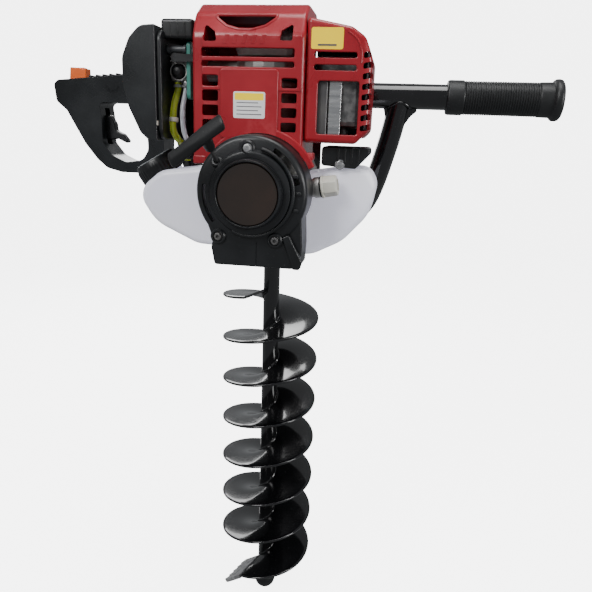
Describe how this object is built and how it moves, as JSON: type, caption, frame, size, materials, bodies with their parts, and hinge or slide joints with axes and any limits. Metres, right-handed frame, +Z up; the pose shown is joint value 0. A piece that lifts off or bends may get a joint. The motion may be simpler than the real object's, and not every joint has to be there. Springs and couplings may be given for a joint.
{
  "type": "petrol auger for ice and earth",
  "caption": "One-person petrol auger: small engine with recoil starter over a worm gearbox, handlebar with throttle handle, and a short spiral drill.",
  "frame": {"origin": "lowest point of the drill's tip, on the drill's axis", "axes": "+Z up along the drill's axis, +X towards the plain grip, +Y away from the recoil starter"},
  "size_m": [0.5257, 0.3156, 0.735],
  "materials": {
    "gloss_black_paint": "gloss black paint",
    "black_plastic": "satin, finely grained",
    "black_rubber": "matt",
    "red_plastic": "gloss, moulded",
    "milky_tank": "milky, lets light through",
    "ivory_plastic": "satin",
    "orange_plastic": "satin",
    "green_plastic": "matt, heat resistant",
    "cast_aluminium": "as cast",
    "bright_steel": "turned",
    "dark_steel": "blackened",
    "bronze": "machined",
    "yellow_hose": "soft, tinted",
    "clear_hose": "soft, clear",
    "filter_foam": "open foam"
  },
  "bodies": {
    "root": {"handlebar_tube": "gloss_black_paint", "strut_left": "gloss_black_paint", "strut_right": "gloss_black_paint", "frame_plate": "gloss_black_paint", "right_grip": "black_rubber", "handle_front_half": "black_plastic", "handle_rear_half": "black_plastic", "gearbox_housing": "cast_aluminium", "gearbox_cover": "cast_aluminium", "output_bearing": "bright_steel", "output_seal": "black_rubber", "worm_bearing": "bright_steel", "clutch_housing": "cast_aluminium", "crankcase": "cast_aluminium", "cylinder": "cast_aluminium", "piston": "cast_aluminium", "connecting_rod": "dark_steel", "rocker_cover": "cast_aluminium", "spark_plug": "bright_steel", "plug_cap": "black_rubber", "muffler": "dark_steel", "muffler_cover": "red_plastic", "top_cover": "red_plastic", "starter_housing": "black_plastic", "starter_cap": "black_plastic", "recoil_spring": "bright_steel", "starter_rope": "black_rubber", "fuel_tank": "milky_tank", "oil_filler_neck": "cast_aluminium", "insulator_plate": "green_plastic", "carburettor": "cast_aluminium", "air_cleaner_base": "black_plastic", "air_filter": "filter_foam", "fuel_hose": "yellow_hose", "return_hose": "clear_hose", "throttle_cable": "black_rubber"},
    "drill": {"auger_tube": "gloss_black_paint", "auger_flight": "gloss_black_paint", "cutting_blade": "dark_steel", "pilot_tip": "black_rubber", "coupling_bolt": "bright_steel", "output_shaft": "bright_steel", "worm_wheel": "bronze"},
    "worm": {"worm_shaft": "bright_steel", "clutch_drum": "dark_steel"},
    "crank": {"crankshaft": "bright_steel", "flywheel": "cast_aluminium", "clutch_rotor": "dark_steel"},
    "shoe_upper": {"clutch_shoe_upper": "dark_steel"},
    "shoe_lower": {"clutch_shoe_lower": "dark_steel"},
    "reel": {"starter_reel": "black_plastic"},
    "pull_grip": {"starter_grip": "black_rubber"},
    "filler_cap": {"fuel_cap": "black_plastic"},
    "oil_plug": {"oil_cap": "ivory_plastic"},
    "choke": {"choke_lever": "black_plastic"},
    "throttle_link": {"throttle_arm": "bright_steel"},
    "trigger": {"throttle_trigger": "black_plastic"},
    "primer": {"primer_bulb": "clear_hose"},
    "cleaner_lid": {"air_cleaner_cover": "black_plastic"},
    "switch": {"stop_switch": "orange_plastic"}
  },
  "joints": [
    {"name": "drill_spin", "type": "hinge", "parent": "root", "child": "drill", "pos_m": [0, 0, 0.578], "axis": [0, 0, 1], "continuous": true},
    {"name": "worm_spin", "type": "hinge", "parent": "root", "child": "worm", "pos_m": [0.02, 0, 0.578], "axis": [0, 1, 0], "continuous": true},
    {"name": "crank_spin", "type": "hinge", "parent": "root", "child": "crank", "pos_m": [0.02, -0.135, 0.578], "axis": [0, 1, 0], "continuous": true},
    {"name": "shoe_upper_slide", "type": "slide", "parent": "crank", "child": "shoe_upper", "axis": [0, 0, 1], "range_m": [0, 0.0008], "stiffness_N_per_m": 400},
    {"name": "shoe_lower_slide", "type": "slide", "parent": "crank", "child": "shoe_lower", "axis": [0, 0, -1], "range_m": [0, 0.0008]},
    {"name": "reel_spin", "type": "hinge", "parent": "root", "child": "reel", "pos_m": [0.02, -0.205, 0.578], "axis": [0, 1, 0], "range_deg": [0, 1165]},
    {"name": "starter_pull", "type": "slide", "parent": "root", "child": "pull_grip", "axis": [0.02, -0.8819, 0.471], "range_m": [0, 0.498], "stiffness_N_per_m": 10, "springref_m": -0.06},
    {"name": "fuel_cap_turn", "type": "hinge", "parent": "root", "child": "filler_cap", "pos_m": [-0.093, -0.127, 0.592], "axis": [-0.5013, -0.1504, 0.8521], "range_deg": [0, 270]},
    {"name": "oil_cap_turn", "type": "hinge", "parent": "root", "child": "oil_plug", "pos_m": [0.07447, -0.16384, 0.58157], "axis": [0.9848, -0.0609, 0.1624], "range_deg": [0, 360]},
    {"name": "choke_turn", "type": "hinge", "parent": "root", "child": "choke", "pos_m": [-0.061, -0.16, 0.689], "axis": [0, -1, 0], "range_deg": [0, 55]},
    {"name": "trigger_pull", "type": "hinge", "parent": "root", "child": "trigger", "pos_m": [-0.186, -0.0535, 0.634], "axis": [0, 1, 0], "range_deg": [0, 20], "stiffness_Nm_per_rad": 0.15, "springref_deg": -22.92},
    {"name": "throttle_arm_turn", "type": "hinge", "parent": "root", "child": "throttle_link", "pos_m": [-0.061, -0.135, 0.6975], "axis": [0, 0, 1], "range_deg": [0, 18.5]},
    {"name": "primer_press", "type": "slide", "parent": "root", "child": "primer", "axis": [0, 1, 0], "range_m": [0, 0.003], "stiffness_N_per_m": 100},
    {"name": "cleaner_lid_open", "type": "hinge", "parent": "root", "child": "cleaner_lid", "pos_m": [-0.0743, -0.1375, 0.617], "axis": [0, -1, 0], "range_deg": [0, 40]},
    {"name": "switch_slide", "type": "slide", "parent": "root", "child": "switch", "axis": [1, 0, 0], "range_m": [0, 0.006]}
  ],
  "couplings": [
    {"joint": "worm_spin", "follows": "drill_spin", "ratio": -28},
    {"joint": "shoe_lower_slide", "follows": "shoe_upper_slide", "ratio": 1},
    {"joint": "reel_spin", "follows": "starter_pull", "rad_per_m": 40.816},
    {"joint": "throttle_arm_turn", "follows": "trigger_pull", "ratio": 0.9}
  ]
}
